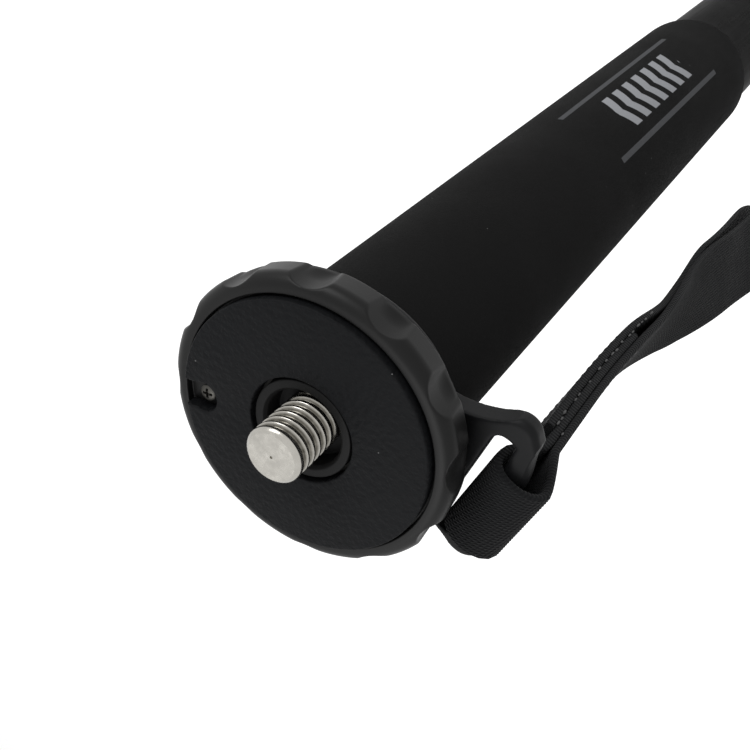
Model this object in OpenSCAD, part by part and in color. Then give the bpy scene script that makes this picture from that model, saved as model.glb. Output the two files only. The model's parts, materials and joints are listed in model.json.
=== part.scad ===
// Camera monopod: a locking head with its camera screw, a foam grip, a wrist strap
// and four sliding tubes that lever locks hold, shown folded.
// Millimetres, +Z up the pole. The origin is the centre of the camera platform.
// +X points to the strap lug.

/* [Camera screw] */
// Diameter of the camera screw (3/8 inch)
stud_d = 9.525; // [8:0.005:10]
// Height of the screw's tip above the platform
stud_rise = 7.7; // [5:0.1:10]
// Bevel round the screw's tip
stud_bevel = 0.5; // [0.2:0.1:1]
// Depth of the screw's seat below the platform
stud_seat = 4.5; // [3:0.1:6]
// Diameter of the screw's lower end (1/4 inch)
stud_tail_d = 6.35; // [5:0.05:8]
// Length of the screw's lower end
stud_tail_l = 9; // [6:0.5:12]
// Width of the driver slot in the lower end
stud_slot_w = 1.2; // [0.8:0.1:1.6]
// Depth of the driver slot
stud_slot_depth = 1.5; // [1:0.1:2.5]

/* [Platform pad] */
// Diameter of the grained pad
pad_d = 43.2; // [40:0.1:45]
// Thickness of the pad
pad_t = 2.4; // [1.8:0.1:3]
// Height of the pad above the wheel's lip
pad_proud = 1.1; // [0.3:0.1:1.5]
// Diameter of the hole in the middle of the pad
pad_hole_d = 18; // [17.4:0.1:20]
// Rounding of the pad's top edge
pad_edge = 0.3; // [0.1:0.1:0.5]
// Distance of the pad screw from the axis
pad_screw_r = 18.1; // [16:0.1:19]
// Direction of the pad screw from the strap lug
pad_screw_angle = 201; // [0:1:359]
// Diameter of the pad screw's head
pad_screw_head_d = 2.8; // [2:0.1:3.6]
// Height of the pad screw's head
pad_screw_head_h = 1.3; // [0.8:0.1:1.6]
// Diameter of the pad screw's shank
pad_screw_d = 1.8; // [1.4:0.1:2]
// Radius of the notch round the pad screw
notch_r = 2.6; // [2.2:0.1:3.2]
// Width of the notch where it leaves the pad
notch_w = 4.6; // [3.6:0.1:5]

/* [Lock wheel] */
// Diameter over the widest part of the wheel
wheel_d = 50.2; // [49:0.1:54]
// Diameter of the wheel's back rim
rim_d = 49.2; // [48:0.1:49.4]
// Height of the wheel from lip to back
wheel_h = 6.1; // [5:0.1:8]
// Radius of the wheel's rounded shoulder
shoulder_r = 2.2; // [1.2:0.1:2.4]
// Number of finger scallops
scallop_n = 12; // [8:1:14]
// Radius of a scallop
scallop_r = 6.5; // [5.5:0.1:8]
// Depth of a scallop
scallop_depth = 1.4; // [0.8:0.1:1.8]
// Height of the rim behind the scallops
scallop_rim_h = 0.6; // [0.4:0.1:1.2]
// Direction of the first scallop
scallop_angle = 20; // [0:1:30]
// Depth of the hollow under the wheel
relief_h = 2.2; // [1:0.1:2.6]
// Slope of the hollow's walls
relief_draft = 0.6; // [0.2:0.1:1]
// Wall of the wheel behind its scallops
wheel_rim_wall = 2; // [1.2:0.1:2.4]
// Wall of the wheel round its bush
wheel_boss_wall = 1.5; // [1:0.1:2.5]
// Wall of the threaded bush in the wheel
bush_wall = 2.4; // [1.6:0.1:3]
// Thickness of the bush's flange
bush_flange_t = 1.2; // [0.8:0.1:1.8]
// Width of the bush's flange
bush_flange_w = 1.5; // [0.8:0.1:2]

/* [Head hub] */
// Diameter of the threaded boss that the wheel turns on
boss_d = 17; // [15:0.1:17.2]
// Depth of the boss's top below the platform
boss_drop = 1; // [0.6:0.1:2]
// Diameter of the open well round the camera screw
boss_bore_d = 14.2; // [13:0.1:14.6]
// Bevel at the mouth of the well
boss_dish = 0.5; // [0.2:0.1:0.7]
// Bevel of the hub's outer edges
hub_edge = 0.4; // [0.2:0.1:0.6]
// Diameter of the hub's flange
flange_d = 42; // [38:0.1:44]
// Thickness of the hub's flange
flange_t = 3; // [2:0.1:5]
// Length of the spigot inside the top tube
spigot_l = 25; // [15:1:28]
// Diameter of the hollow in the spigot
spigot_bore_d = 18; // [10:0.5:22]

/* [Strap lug] */
// Thickness of the lug plate
lug_t = 4; // [3.4:0.1:5]
// Diameter of the lug plate's round part
lug_collar_d = 39.2; // [37:0.1:41]
// Direction of the lug's ear
lug_turn = 4; // [0:1:8]
// Distance of the bar's middle from the axis
bar_x = 29.2; // [28.8:0.1:33]
// Width of the ear beside each end of the slot
lug_arm = 3.7; // [3:0.1:5]
// Width of the ear at its root
lug_root_w = 20.5; // [18:0.5:28]
// Depth of the hollow in each flank of the ear
flank_hollow = 1.1; // [0.2:0.1:1.6]
// Radius of the hollow in each flank
flank_r = 18; // [14:1:30]
// Width of the bar that the strap goes round
bar_w = 4.4; // [3.2:0.1:5]
// Turn of the bar from square to the axis
bar_turn = -6; // [-8:1:0]
// Length of bare bar at the webbing's front edge
bar_front = 4.4; // [1:0.1:5]
// Length of bare bar at the webbing's back edge
bar_back = 1.2; // [1:0.1:5]
// Space between the webbing and the slot's inner edge
slot_room = 1.2; // [0.8:0.1:2]
// Corner radius of the slot
slot_round = 1.6; // [0.8:0.1:2]
// Rounding of the bar's edges
bar_round = 1.5; // [0.8:0.1:1.5]
// Bevel round the plate's edges
lug_bevel = 0.8; // [0.2:0.1:1.2]
// Corner radius of the lug
lug_corner = 3.4; // [2:0.1:5]

/* [Wrist strap] */
// Width of the webbing
strap_w = 17; // [15:0.5:20]
// Thickness of the webbing
strap_t = 1.5; // [1:0.1:1.6]
// Space between the webbing and the bar's corners
strap_slack = 0.6; // [0.5:0.1:1]
// Place of the webbing's middle along the bar
strap_shift = -0.7; // [-2:0.1:2]
// Space between the sewn layers
layer_gap = 0.3; // [0.2:0.05:0.6]
// Drop from the bar to the sewn neck
strap_gather_l = 9; // [8:1:20]
// Length of the sewn neck
strap_neck_l = 51; // [30:1:60]
// Length of the hand loop
strap_loop_l = 182; // [150:1:200]
// Width of the open hand loop
strap_loop_w = 36; // [24:1:44]
// Distance that the loop hangs out from the bar
strap_lean = 16; // [10:1:24]
// Distance that the sewn neck hangs out from the bar's middle
strap_out = 1; // [0:0.1:3]
// Direction that the loop's webbing twists to
strap_twist_angle = 110; // [60:1:120]

/* [Foam grip] */
// Diameter of the grip
grip_d = 34.6; // [33.6:0.1:40]
// Length of the grip
grip_l = 197; // [120:1:300]
// Rounding of the grip's lower end
grip_round = 1.4; // [0.5:0.1:1.6]

/* [Tubes] */
// Diameter of the top tube
tube_d = 31; // [29:0.5:31]
// Difference in diameter from one tube to the next
tube_step = 4; // [3.6:0.1:4.6]
// Wall of the tubes
tube_wall = 1.3; // [1:0.1:1.4]
// Length of the top tube
top_tube_l = 405; // [300:1:600]
// Length of each sliding tube
slide_tube_l = 414; // [300:1:480]
// Space between the folded tubes and the head's spigot
head_room = 3; // [1:0.5:10]
// Height of the guide bushing on each sliding tube
bushing_h = 24; // [12:1:40]

/* [Lever locks] */
// Height of the collar's grip on the outer tube
lock_grip_h = 14; // [8:1:20]
// Height of the collar's clamp on the inner tube
clamp_h = 22; // [20:1:30]
// Space between one lock and the next when folded
lock_space = 2; // [1:0.5:6]
// Wall of the collar round the outer tube
lock_wall = 3; // [2:0.1:4]
// Thickness of the liner in the clamp
liner_t = 1.2; // [0.8:0.1:1.6]
// Bevel of the collar's edges
collar_bevel = 1; // [0.4:0.1:1.4]
// Reach of the clamp's ears
ear_reach = 9; // [8.4:0.1:12]
// Thickness of each ear
ear_t = 4.5; // [3:0.1:6]
// Height of the ears less than the clamp's
ear_drop = 3; // [2:0.5:5]
// Corner radius of the ears
ear_corner = 3; // [1:0.1:4]
// Width of the slit between the ears
slit_w = 1.8; // [1:0.1:2.4]
// Diameter of the clamp bolt
bolt_d = 4; // [3:0.1:5]
// Length of the bolt beyond its nut
bolt_end = 0.8; // [0.4:0.1:1.5]
// Radius of the bolt's eye
eye_r = 3; // [2.6:0.1:3.2]
// Height of the bolt's eye
eye_h = 6; // [5.4:0.1:8]
// Width of the nut across its flats
nut_w = 7; // [6:0.1:8]
// Thickness of the nut
nut_t = 3.2; // [2:0.1:4]
// Diameter of the lever's pin
pin_d = 3; // [2:0.1:3.4]
// Length of the pin beyond the lever's cheeks
pin_end = 0.3; // [0.1:0.1:0.8]
// Radius of the lever's cam
cam_r = 3.6; // [3.2:0.1:4.4]
// Offset of the cam from the pin
cam_offset = 0.5; // [0.1:0.1:0.8]
// Height of the lever
lever_h = 16; // [12:0.5:18]
// Thickness of the lever's arm
lever_t = 2.8; // [2:0.1:4]
// Direction where the lever's arm meets the collar
lever_from_angle = 50; // [45:1:60]
// Angle that the lever's arm wraps round the collar
lever_span_angle = 105; // [60:1:120]
// Diameter of the ridge at the lever's tip
lever_tip_d = 4.4; // [3:0.1:6]

/* [Foot] */
// Wall of the ferrule above the foot
ferrule_wall = 2.4; // [1.5:0.1:4]
// Diameter of the rubber foot
foot_d = 28; // [26:0.5:36]
// Rounding of the foot's lower edge
foot_round = 5; // [3:0.5:6]
// Width and depth of the grooves round the foot
foot_groove = 1; // [0.5:0.1:1.5]
// Spacing of the grooves
foot_groove_pitch = 3; // [2:0.5:4]
// Diameter of the plug's stem in the foot
stem_d = 8; // [5:0.5:12]
// Length of the plug's stem in the foot
stem_l = 10; // [6:0.5:14]

/* [Fits] */
// Running gap of pieces that turn on each other
turn_gap = 0.05; // [0.02:0.01:0.1]
// Sliding gap between the tubes
slide_gap = 0.1; // [0.05:0.01:0.1]
// Gap between pieces that are fixed together
seat_gap = 0.05; // [0.02:0.01:0.1]
// Clear gap between pieces that pass each other
clear_gap = 0.4; // [0.3:0.05:0.5]
// Gap at the blind ends of screws and bushes
end_gap = 0.2; // [0.1:0.05:0.4]
// Gap between the shut lever's cam and the ear
cam_gap = 0.2; // [0.1:0.05:0.3]

/* [Hidden] */
$fn = 96;
hull_fn = 32;
cut = 0.5;
slice_t = 0.2;
bar_lap = 1;
web_inset = 0.3;
section_n = 4;
lock_n = section_n - 1;

// Heights down the pole
pad_bottom = -pad_t;
lip_z = -pad_proud;
wheel_bottom = lip_z - wheel_h;
boss_top = -boss_drop;
flange_top = wheel_bottom - clear_gap;
flange_bottom = flange_top - flange_t;
lug_bottom = flange_bottom - lug_t;
spigot_bottom = lug_bottom - spigot_l;
stud_bottom = -stud_seat - stud_tail_l;
grip_bottom = lug_bottom - grip_l;
lock_pitch = lock_grip_h + clamp_h + lock_space;
function tube_end(k) = k == 1 ? lug_bottom - top_tube_l
    : min(tube_end(k - 1) - lock_pitch, spigot_bottom - head_room - slide_tube_l);
function tube_top(k) = k == 1 ? lug_bottom : tube_end(k) + slide_tube_l;
function clamp_mid(k) = tube_end(k) - clamp_h / 2;
foot_top = tube_end(section_n) + lock_grip_h;
foot_bottom = tube_end(section_n) - clamp_h;

// Radii of the head
tray_r = pad_d / 2 + clear_gap;
wheel_r = wheel_d / 2;
rim_r = rim_d / 2;
crest_z = lip_z - shoulder_r;
bush_in_r = boss_d / 2 + turn_gap;
bush_r = bush_in_r + bush_wall;
bush_flange_r = bush_r + bush_flange_w;
relief_in_r = bush_flange_r + wheel_boss_wall;
scallop_c = wheel_r - scallop_depth + scallop_r;
relief_r = wheel_r - scallop_depth - wheel_rim_wall;
scallop_z = wheel_bottom + scallop_rim_h;
function tube_r(k) = (tube_d - (k - 1) * tube_step) / 2;
spigot_r = tube_r(1) - tube_wall - seat_gap;

// Lever locks, seen from above with the ears towards +X
function collar_r(k) = tube_r(k) + seat_gap + lock_wall;
function liner_in_r(k) = tube_r(k + 1) + slide_gap;
function liner_r(k) = liner_in_r(k) + liner_t;
function bolt_x(k) = collar_r(k) + ear_reach / 2;
ear_face = slit_w / 2 + ear_t;
pin_y = ear_face + cam_gap + cam_r + cam_offset;
ear_h = clamp_h - ear_drop;
function lever_in_r(k) = collar_r(k) + 2 * clear_gap;

// Strap: its bar, the circle round the bar, and how the hanging band leans and twists
bar_z = flange_bottom - lug_t / 2;
bar_corner = norm([bar_w / 2 - bar_round, lug_t / 2 - bar_round]) + bar_round;
wrap_r = bar_corner + strap_slack + strap_t / 2;
neck_n = (strap_t + layer_gap) / 2;
slot_l = strap_w + bar_front + bar_back;
slot_mid = strap_shift + (bar_front - bar_back) / 2;
lug_w = slot_l + 2 * lug_arm;
lean_start_l = 0;
lean_run_l = 230;
twist_start_l = 69;
twist_run_l = 105;
wrap_steps = 16;
gather_steps = 5;
neck_steps = 6;
loop_steps = 40;

// Ring between two radii, from one height up to another
module ring(inner, outer, low, high) {
    translate([0, 0, low])
        difference() {
            cylinder(r = outer, h = high - low);
            translate([0, 0, -cut]) cylinder(r = inner, h = high - low + 2 * cut);
        }
}

// Sector between two directions, for cutting an arc out of a ring
module wedge(from, to, reach, h) {
    middle = (from + to) / 2;
    linear_extrude(height = h, center = true)
        polygon([[0, 0], for (a = [from, middle, to]) reach * [cos(a), sin(a)]]);
}

module at_pad_screw() {
    rotate(pad_screw_angle) translate([pad_screw_r, 0, 0]) children();
}

// Reversible screw: the camera's thread on top, the smaller thread and a driver slot below
module camera_stud() {
    straight_l = stud_seat + stud_rise - stud_bevel;
    color("silver")
        difference() {
            union() {
                translate([0, 0, -stud_seat]) cylinder(d = stud_d, h = straight_l);
                translate([0, 0, stud_rise - stud_bevel])
                    cylinder(d1 = stud_d, d2 = stud_d - 2 * stud_bevel, h = stud_bevel);
                translate([0, 0, stud_bottom]) cylinder(d = stud_tail_d, h = stud_tail_l + cut);
            }
            translate([-stud_tail_d, -stud_slot_w / 2, stud_bottom - cut])
                cube([2 * stud_tail_d, stud_slot_w, stud_slot_depth + cut]);
        }
}

// Grained disc that the camera rests on, with a notch at its edge for the pad screw
module platform_pad() {
    r = pad_d / 2;
    color([0.1, 0.1, 0.11])
        difference() {
            rotate_extrude()
                polygon([[pad_hole_d / 2, pad_bottom], [r, pad_bottom], [r, -pad_edge], [r - pad_edge, 0],
                         [pad_hole_d / 2 + pad_edge, 0], [pad_hole_d / 2, -pad_edge]]);
            at_pad_screw() {
                translate([0, 0, pad_bottom - cut]) cylinder(r = notch_r, h = pad_t + 2 * cut);
                translate([0, -notch_w / 2, pad_bottom - cut]) cube([r, notch_w, pad_t + 2 * cut]);
            }
        }
}

module pad_screw() {
    shank_l = wheel_h - relief_h - (pad_t - pad_proud) - end_gap;
    color("silver")
        at_pad_screw() {
            translate([0, 0, pad_bottom]) cylinder(d = pad_screw_head_d, h = pad_screw_head_h);
            translate([0, 0, pad_bottom - shank_l])
                cylinder(d = pad_screw_d, h = shank_l + pad_screw_head_h / 2);
        }
}

// Outline of the wheel from its bore to its rim: a tray for the pad, a rounded shoulder and a hollow back
module wheel_outline() {
    bore = bush_r + turn_gap;
    counterbore = bush_flange_r + turn_gap;
    flange_seat = wheel_bottom + bush_flange_t + turn_gap;
    difference() {
        polygon([[bore, pad_bottom], [tray_r, pad_bottom], [tray_r, lip_z], [wheel_r, lip_z],
                 [wheel_r, crest_z], [rim_r, wheel_bottom], [relief_r, wheel_bottom],
                 [relief_r - relief_draft, wheel_bottom + relief_h],
                 [relief_in_r + relief_draft, wheel_bottom + relief_h], [relief_in_r, wheel_bottom],
                 [counterbore, wheel_bottom], [counterbore, flange_seat], [bore, flange_seat]]);
        translate([wheel_r - shoulder_r, crest_z])
            difference() {
                square(shoulder_r + cut);
                circle(r = shoulder_r);
            }
    }
}

// Finger wheel: scallops run back from the shoulder to a thin rim
module lock_wheel() {
    color([0.17, 0.17, 0.18])
        difference() {
            rotate_extrude() wheel_outline();
            for (i = [0 : scallop_n - 1])
                rotate(scallop_angle + i * 360 / scallop_n)
                    translate([scallop_c, 0, scallop_z])
                        cylinder(r = scallop_r, h = lip_z - scallop_z + cut);
            at_pad_screw()
                translate([0, 0, wheel_bottom]) cylinder(d = pad_screw_d + 2 * seat_gap, h = wheel_h);
        }
}

// Threaded bush of the wheel, which climbs the hub's boss
module wheel_bush() {
    color([0.16, 0.15, 0.14])
        rotate_extrude()
            polygon([[bush_in_r, pad_bottom - end_gap], [bush_r, pad_bottom - end_gap],
                     [bush_r, wheel_bottom + bush_flange_t], [bush_flange_r, wheel_bottom + bush_flange_t],
                     [bush_flange_r, wheel_bottom], [bush_in_r, wheel_bottom]]);
}

// Hub: the boss with the screw's well on top, a flange, and a spigot that fills the top tube
module head_hub() {
    tail_r = stud_tail_d / 2 + seat_gap;
    boss_r = boss_d / 2;
    well_r = boss_bore_d / 2;
    flange_r = flange_d / 2;
    color([0.13, 0.13, 0.14])
        rotate_extrude()
            polygon([[tail_r, -stud_seat], [well_r, -stud_seat], [well_r, boss_top - boss_dish],
                     [well_r + boss_dish, boss_top], [boss_r - hub_edge, boss_top],
                     [boss_r, boss_top - hub_edge], [boss_r, flange_top], [flange_r - hub_edge, flange_top],
                     [flange_r, flange_top - hub_edge],
                     [flange_r, flange_bottom], [spigot_r, flange_bottom], [spigot_r, spigot_bottom],
                     [spigot_bore_d / 2, spigot_bottom], [spigot_bore_d / 2, stud_bottom - cut],
                     [tail_r, stud_bottom - cut]]);
}

// Middle of the bar, with +Y along it
module at_bar() {
    translate([bar_x, 0, bar_z]) rotate(bar_turn) children();
}

// Thin slice of the lug's ear, drawn in by an inset, with its lower face at a height
module ear_slice(inset, z) {
    x = bar_x + bar_w / 2 - lug_corner;
    y = lug_w / 2 - lug_corner;
    translate([0, 0, z])
        linear_extrude(slice_t) {
            translate([0, inset - lug_root_w / 2]) square([x / 2, lug_root_w - 2 * inset]);
            for (side = [-1, 1]) translate([x, side * y]) circle(r = lug_corner - inset, $fn = hull_fn);
        }
}

// Hollows in the flanks of the ear
module ear_hollows() {
    far = [bar_x + bar_w / 2 - lug_corner, lug_w / 2];
    flank = far - [far[0] / 2, lug_root_w / 2];
    out = [-flank[1], flank[0]] / norm(flank);
    mid = far - flank / 2 + out * (flank_r - flank_hollow);
    for (side = [-1, 1])
        translate([mid[0], side * mid[1], lug_bottom - cut]) cylinder(r = flank_r, h = lug_t + 2 * cut);
}

// Bar of the lug, with round edges for the webbing
module lug_bar() {
    l = slot_l + 2 * bar_lap;
    flat_x = bar_w - 2 * bar_round;
    flat_z = lug_t - 2 * bar_round;
    at_bar()
        translate([0, slot_mid, 0]) {
            cube([flat_x, l, lug_t], center = true);
            cube([bar_w, l, flat_z], center = true);
            for (sx = [-1, 1], sz = [-1, 1])
                translate([sx * flat_x / 2, 0, sz * flat_z / 2])
                    rotate([90, 0, 0]) cylinder(r = bar_round, h = l, center = true);
        }
}

// Room for the webbing: as long as the bar, from the slot's inner edge out past the lug
module lug_slot() {
    slot_in = wrap_r + strap_t / 2 + slot_room - slot_round;
    at_bar()
        hull()
            for (side = [-1, 1])
                let (y = slot_mid + side * (slot_l / 2 - slot_round))
                    for (x = [y * tan(bar_turn / 2) - slot_in, lug_w])
                        translate([x, y, 0])
                            cylinder(r = slot_round, h = lug_t + 2 * cut, center = true, $fn = hull_fn);
}

// Flat plate under the hub: a round part on the spigot and a flared ear whose bar takes the strap
module strap_lug() {
    color([0.14, 0.14, 0.15]) {
        difference() {
            union() {
                translate([0, 0, lug_bottom + lug_bevel])
                    cylinder(d = lug_collar_d, h = lug_t - lug_bevel);
                translate([0, 0, lug_bottom])
                    cylinder(d1 = lug_collar_d - 2 * lug_bevel, d2 = lug_collar_d, h = lug_bevel);
                rotate(lug_turn)
                    difference() {
                        hull() {
                            ear_slice(lug_bevel, lug_bottom);
                            ear_slice(0, lug_bottom + lug_bevel);
                            ear_slice(0, flange_bottom - lug_bevel - slice_t);
                            ear_slice(lug_bevel, flange_bottom - slice_t);
                        }
                        ear_hollows();
                    }
            }
            translate([0, 0, lug_bottom - cut]) cylinder(r = spigot_r + seat_gap, h = lug_t + 2 * cut);
            lug_slot();
        }
        lug_bar();
    }
}

function smooth(u) = let (c = min(1, max(0, u))) c * c * (3 - 2 * c);

// Half of the hand loop's opening at an angle round its drop shape, which is widest near its lower end
loop_widest = 2 * asin(sqrt(5 / 6));
function drop_shape(t) = sin(t) * pow(sin(t / 2), 4);
function loop_n(t) = -strap_loop_w / 2 * drop_shape(t) / drop_shape(loop_widest) - neck_n * cos(t / 2);

// The band's middle line as [offset from the strap's middle, drop below the bar, layers added outside]
band = concat(
    [for (i = [0 : wrap_steps]) let (a = 180 * i / wrap_steps) [wrap_r * cos(a), -wrap_r * sin(a), 0]],
    [for (i = [1 : gather_steps]) let (u = i / gather_steps)
        [-neck_n - (wrap_r - neck_n) * (1 - smooth(u)), strap_gather_l * u, 0]],
    [for (i = [1 : neck_steps])
        [-neck_n, strap_gather_l + strap_neck_l * i / neck_steps, i > 1 && i < neck_steps ? 1 : 0]],
    [for (i = [1 : loop_steps - 1]) let (t = 360 * i / loop_steps)
        [loop_n(t), strap_gather_l + strap_neck_l + strap_loop_l * (1 - cos(t)) / 2, 0]],
    [for (i = [neck_steps : -1 : 1]) [neck_n, strap_gather_l + strap_neck_l * i / neck_steps, 0]],
    [for (i = [gather_steps : -1 : 1]) let (u = i / gather_steps)
        [neck_n + (wrap_r - neck_n) * (1 - smooth(u)), strap_gather_l * u, 0]]
);

// Point of the strap at an offset n through it, a drop d and a place w across its width
function strap_point(n, d, w) =
    let (a = bar_turn + (strap_twist_angle - bar_turn) * smooth((d - twist_start_l) / twist_run_l),
         neck_x = bar_x + strap_out * smooth(d / strap_gather_l),
         x = neck_x + strap_lean * smooth((d - lean_start_l) / lean_run_l),
         across = w + strap_shift)
    [x + n * cos(a) - across * sin(a), n * sin(a) + across * cos(a), bar_z - d];

// Webbing band: round the bar, down two sewn layers and round the hand loop
module wrist_strap() {
    count = len(band);
    half = strap_w / 2;
    points = [for (i = [0 : count - 1])
        let (before = band[(i + count - 1) % count], after = band[(i + 1) % count], p = band[i],
             along = [after[0] - before[0], after[1] - before[1]],
             out = [along[1], -along[0]] / norm(along),
             outside = strap_t * (0.5 + p[2]))
        for (corner = [[-strap_t / 2, -half], [-strap_t / 2, half], [outside, half], [outside, -half]])
            strap_point(p[0] + out[0] * corner[0], p[1] + out[1] * corner[0], corner[1])];
    faces = [for (i = [0 : count - 1], j = [0 : 3])
        let (a = 4 * i + j, b = 4 * i + (j + 1) % 4, next = 4 * ((i + 1) % count),
             c = next + (j + 1) % 4, d = next + j)
        each [[a, b, c], [a, c, d]]];
    color([0.11, 0.11, 0.12]) polyhedron(points, faces);
}

module foam_grip() {
    inner = tube_r(1) + seat_gap;
    r = grip_d / 2;
    color([0.1, 0.1, 0.1])
        rotate_extrude()
            union() {
                translate([inner, grip_bottom + grip_round]) square([r - inner, grip_l - grip_round]);
                translate([inner, grip_bottom]) square([r - grip_round - inner, grip_l]);
                intersection() {
                    translate([r - grip_round, grip_bottom + grip_round]) circle(r = grip_round);
                    translate([r - grip_round, grip_bottom]) square(grip_round);
                }
            }
}

module tube(k) {
    color([0.25, 0.25, 0.26]) ring(tube_r(k) - tube_wall, tube_r(k), tube_end(k), tube_top(k));
}

// Plastic sleeve on the top of a sliding tube, which guides it in the tube above
module guide_bushing(k) {
    color([0.2, 0.2, 0.2])
        ring(tube_r(k) + seat_gap, tube_r(k - 1) - tube_wall - slide_gap,
             tube_top(k) - bushing_h, tube_top(k));
}

// The two ears of a clamp as one block, with rounded outer corners
module ear_block(k) {
    root_x = collar_r(k) - lock_wall;
    reach = ear_reach + lock_wall;
    translate([root_x, -ear_face, clamp_mid(k)]) {
        translate([0, 0, -ear_h / 2]) cube([reach - ear_corner, 2 * ear_face, ear_h]);
        translate([0, 0, -ear_h / 2 + ear_corner]) cube([reach, 2 * ear_face, ear_h - 2 * ear_corner]);
        for (side = [-1, 1])
            translate([reach - ear_corner, 0, side * (ear_h / 2 - ear_corner)])
                rotate([-90, 0, 0]) cylinder(r = ear_corner, h = 2 * ear_face);
    }
}

// Clamp collar: it grips the outer tube above, and its split lower half closes on the inner tube
module lock_collar(k) {
    r = collar_r(k);
    low = tube_end(k) - clamp_h;
    high = tube_end(k) + lock_grip_h;
    color([0.12, 0.12, 0.13])
        difference() {
            union() {
                rotate_extrude()
                    polygon([[0, low], [r - collar_bevel, low], [r, low + collar_bevel],
                             [r, high - 2 * collar_bevel], [r - collar_bevel, high], [0, high]]);
                ear_block(k);
            }
            translate([0, 0, tube_end(k)]) cylinder(r = tube_r(k) + seat_gap, h = lock_grip_h + cut);
            translate([0, 0, low - cut]) cylinder(r = liner_r(k) + seat_gap, h = clamp_h + 2 * cut);
            translate([0, -slit_w / 2, low - cut])
                cube([r + ear_reach + cut, slit_w, clamp_h - slit_w + cut]);
            translate([bolt_x(k), 0, clamp_mid(k)])
                rotate([90, 0, 0]) cylinder(d = bolt_d + 2 * seat_gap, h = 4 * ear_face, center = true);
        }
}

// Split plastic sleeve between the clamp and the inner tube
module lock_liner(k) {
    low = tube_end(k) - clamp_h;
    color([0.3, 0.3, 0.3])
        difference() {
            ring(liner_in_r(k), liner_r(k), low, tube_end(k));
            translate([0, -slit_w / 2, low - cut]) cube([2 * liner_r(k), slit_w, clamp_h + 2 * cut]);
        }
}

// Clamp bolt across the ears, with an eye for the lever's pin
module lock_bolt(k) {
    tail = ear_face + nut_t + bolt_end;
    color("silver")
        translate([bolt_x(k), 0, clamp_mid(k)])
            difference() {
                union() {
                    translate([0, -tail, 0]) rotate([-90, 0, 0]) cylinder(d = bolt_d, h = tail + pin_y);
                    translate([0, pin_y, -eye_h / 2]) cylinder(r = eye_r, h = eye_h);
                }
                translate([0, pin_y, -eye_h]) cylinder(d = pin_d + 2 * seat_gap, h = 2 * eye_h);
            }
}

module lock_nut(k) {
    corner_d = nut_w / cos(30);
    color("silver")
        translate([bolt_x(k), -ear_face, clamp_mid(k)])
            rotate([90, 0, 0])
                difference() {
                    cylinder(d = corner_d, h = nut_t, $fn = 6);
                    translate([0, 0, -cut]) cylinder(d = bolt_d + 2 * seat_gap, h = nut_t + 2 * cut);
                }
}

module lever_pin(k) {
    color("silver")
        translate([bolt_x(k), pin_y, clamp_mid(k) - lever_h / 2 - pin_end])
            cylinder(d = pin_d, h = lever_h + 2 * pin_end);
}

// Web of the lever between its cam and its arm, drawn in a little from both so that their edges cross
module lever_web(cam, root) {
    l = norm(root - cam);
    along = (root - cam) / l;
    across = [-along[1], along[0]];
    cam_half = cam_r - web_inset;
    root_half = lever_t / 2 - web_inset;
    slope = (cam_half - root_half) / l;
    sides = [for (side = [-1, 1]) slope * along + side * sqrt(1 - pow(slope, 2)) * across];
    linear_extrude(height = lever_h, center = true)
        polygon([cam + cam_half * sides[0], root + root_half * sides[0], root + lever_t * along,
                 root + root_half * sides[1], cam + cam_half * sides[1]]);
}

// Cam lever: two cheeks on the pin, and an arm that lies round the collar when the lock is shut
module lock_lever(k) {
    in_r = lever_in_r(k);
    cam = [bolt_x(k), pin_y - cam_offset];
    root = (in_r + lever_t / 2) * [cos(lever_from_angle), sin(lever_from_angle)];
    lever_to = lever_from_angle + lever_span_angle;
    tip = (in_r + web_inset + lever_tip_d / 2) * [cos(lever_to), sin(lever_to)];
    color([0.12, 0.12, 0.13])
        translate([0, 0, clamp_mid(k)])
            difference() {
                union() {
                    translate(cam) cylinder(r = cam_r, h = lever_h, center = true);
                    lever_web(cam, root);
                    intersection() {
                        ring(in_r, in_r + lever_t, -lever_h / 2, lever_h / 2);
                        wedge(lever_from_angle, lever_to, 2 * in_r, lever_h);
                    }
                    translate(tip) cylinder(d = lever_tip_d, h = lever_h, center = true);
                }
                translate([bolt_x(k), pin_y, 0]) {
                    cylinder(r = cam_r + cam_offset + clear_gap, h = eye_h + 2 * clear_gap, center = true);
                    cylinder(d = pin_d + 2 * turn_gap, h = 2 * lever_h, center = true);
                }
            }
}

// Ring that closes the last tube above the foot
module foot_ferrule() {
    inner = tube_r(section_n) + seat_gap;
    color([0.12, 0.12, 0.13]) ring(inner, inner + ferrule_wall, tube_end(section_n), foot_top);
}

// Plug in the end of the last tube, with a stem that holds the rubber foot
module foot_plug() {
    low = tube_end(section_n);
    color([0.2, 0.2, 0.2]) {
        translate([0, 0, low]) cylinder(r = tube_r(section_n) - tube_wall - seat_gap, h = lock_grip_h);
        translate([0, 0, low - stem_l]) cylinder(d = stem_d, h = stem_l + cut);
    }
}

// Rubber foot: a short cone, two grip grooves, and a rounded lower edge round a flat tread
module rubber_foot() {
    top_z = tube_end(section_n);
    top_r = tube_r(section_n) + seat_gap + ferrule_wall;
    r = foot_d / 2;
    round_z = foot_bottom + foot_round;
    color([0.08, 0.08, 0.08])
        difference() {
            rotate_extrude()
                difference() {
                    polygon([[0, top_z], [top_r, top_z], [r, round_z + foot_round], [r, foot_bottom],
                             [0, foot_bottom]]);
                    translate([r - foot_round, foot_bottom - cut])
                        difference() {
                            square([foot_round + cut, foot_round + cut]);
                            translate([0, foot_round + cut]) circle(r = foot_round);
                        }
                }
            translate([0, 0, top_z - stem_l - cut]) cylinder(d = stem_d + 2 * seat_gap, h = stem_l + 2 * cut);
            for (i = [0, 1])
                translate([0, 0, round_z + i * foot_groove_pitch])
                    ring(r - foot_groove, r + foot_groove, 0, foot_groove);
        }
}

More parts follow.
